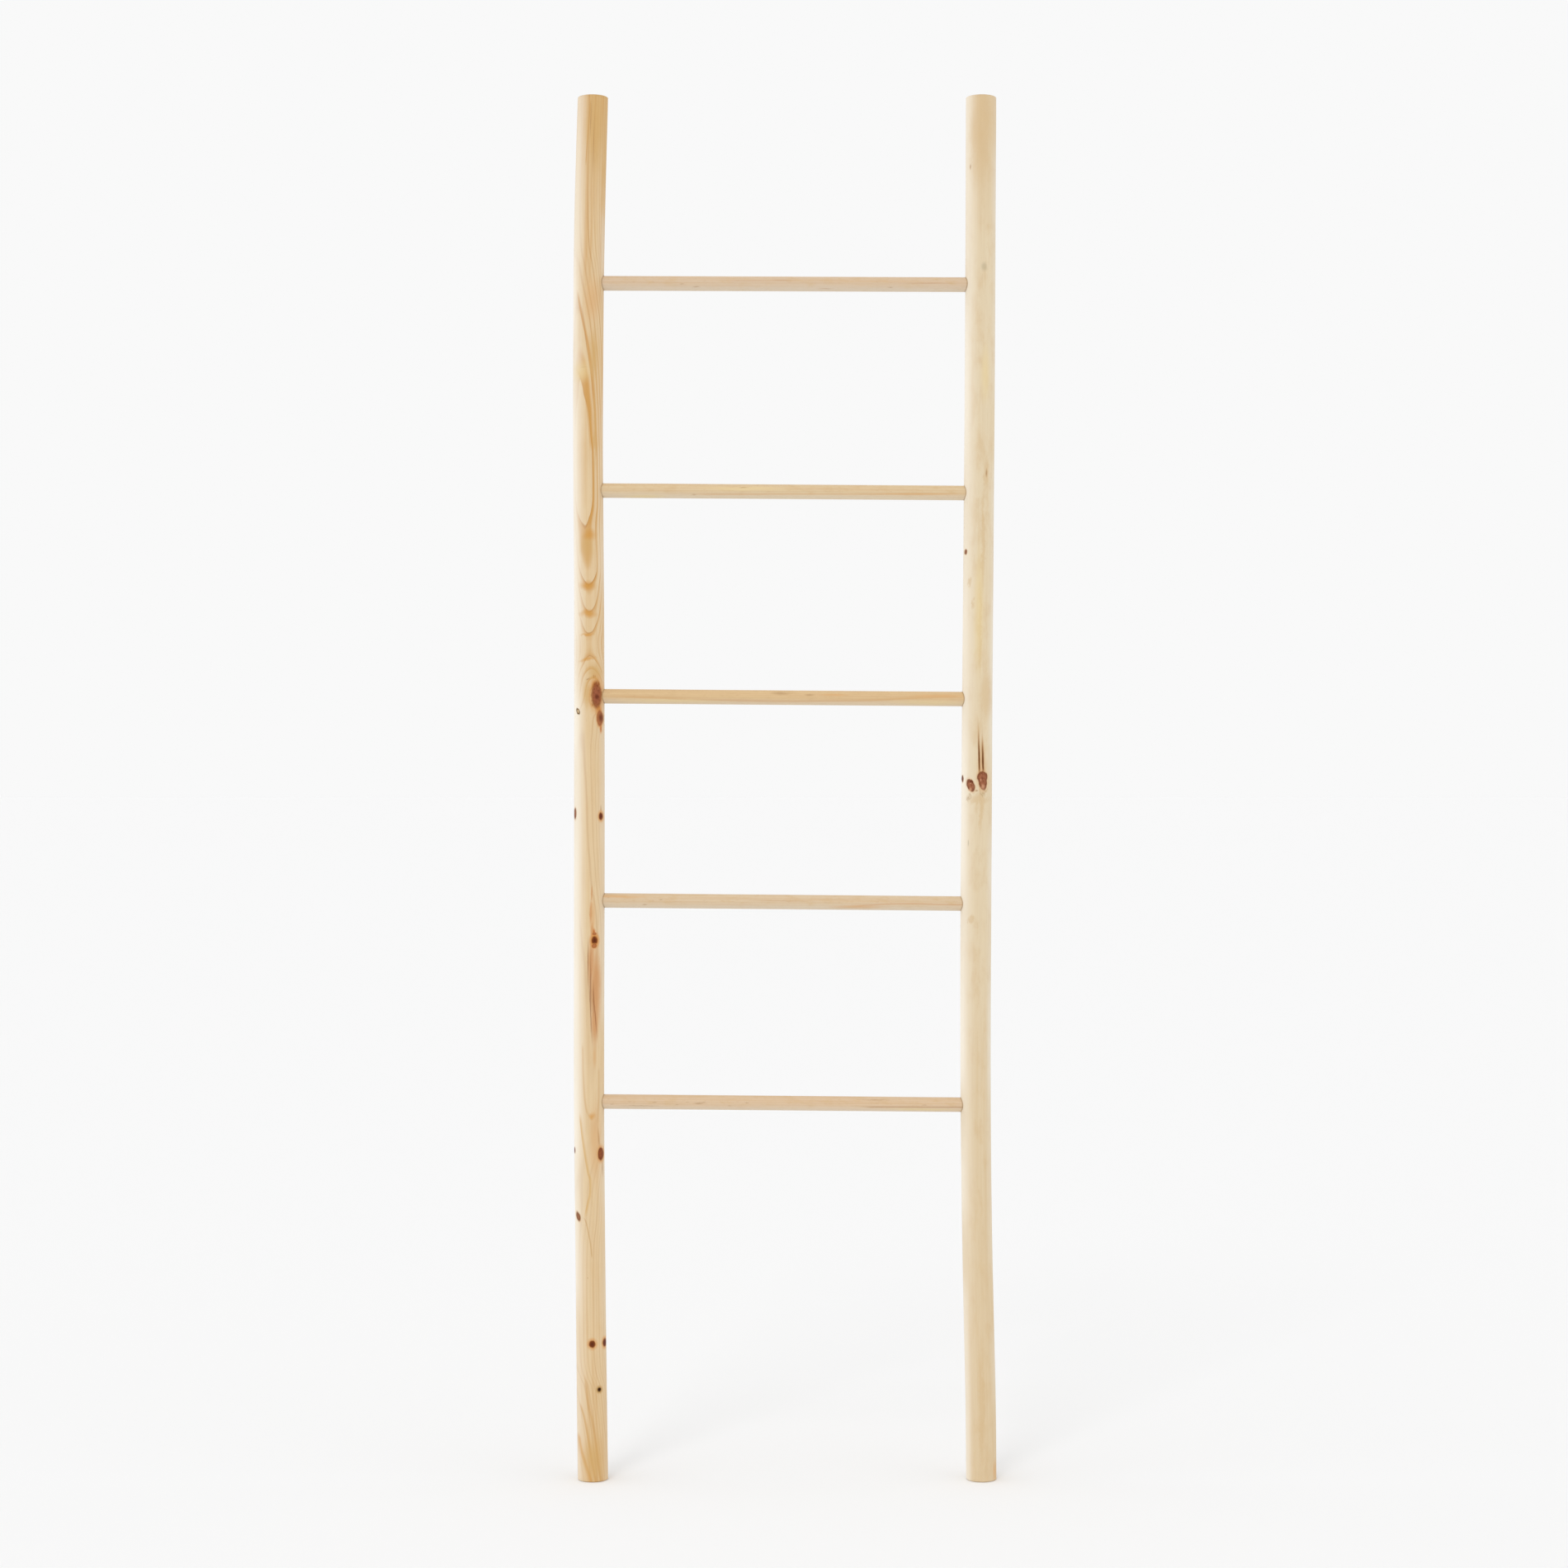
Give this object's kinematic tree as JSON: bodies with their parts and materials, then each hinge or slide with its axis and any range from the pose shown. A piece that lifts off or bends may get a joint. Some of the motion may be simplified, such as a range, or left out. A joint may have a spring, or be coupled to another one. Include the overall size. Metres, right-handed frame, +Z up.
{
  "type": "blanket ladder",
  "caption": "Slim leaning ladder for blankets and towels: slightly crooked round pine rails joined by round dowel rungs in blind sockets.",
  "frame": {"origin": "on the floor, midway between the outermost points of the two rails and on the rails' common centre plane", "axes": "+Z up along the rails, +X along the rungs from left_rail to right_rail, -Y the front and +Y the side that leans on a wall"},
  "size_m": [0.5522, 0.0406, 1.8],
  "materials": {
    "left_pole": "warm knotty pine with strong grain, matt clear coat",
    "right_pole": "pale plain pine with faint mottle and a few knots, matt clear coat",
    "dowel": "pale straight-grained softwood dowel, fine sanded, matt",
    "golden_dowel": "slightly golden straight-grained softwood dowel, fine sanded, matt",
    "brad": "bright steel wire"
  },
  "bodies": {
    "root": {"left_rail": "left_pole", "right_rail": "right_pole", "rung_1": "dowel", "rung_2": "dowel", "rung_3": "golden_dowel", "rung_4": "dowel", "rung_5": "dowel", "rung_brads": "brad"}
  },
  "joints": []
}
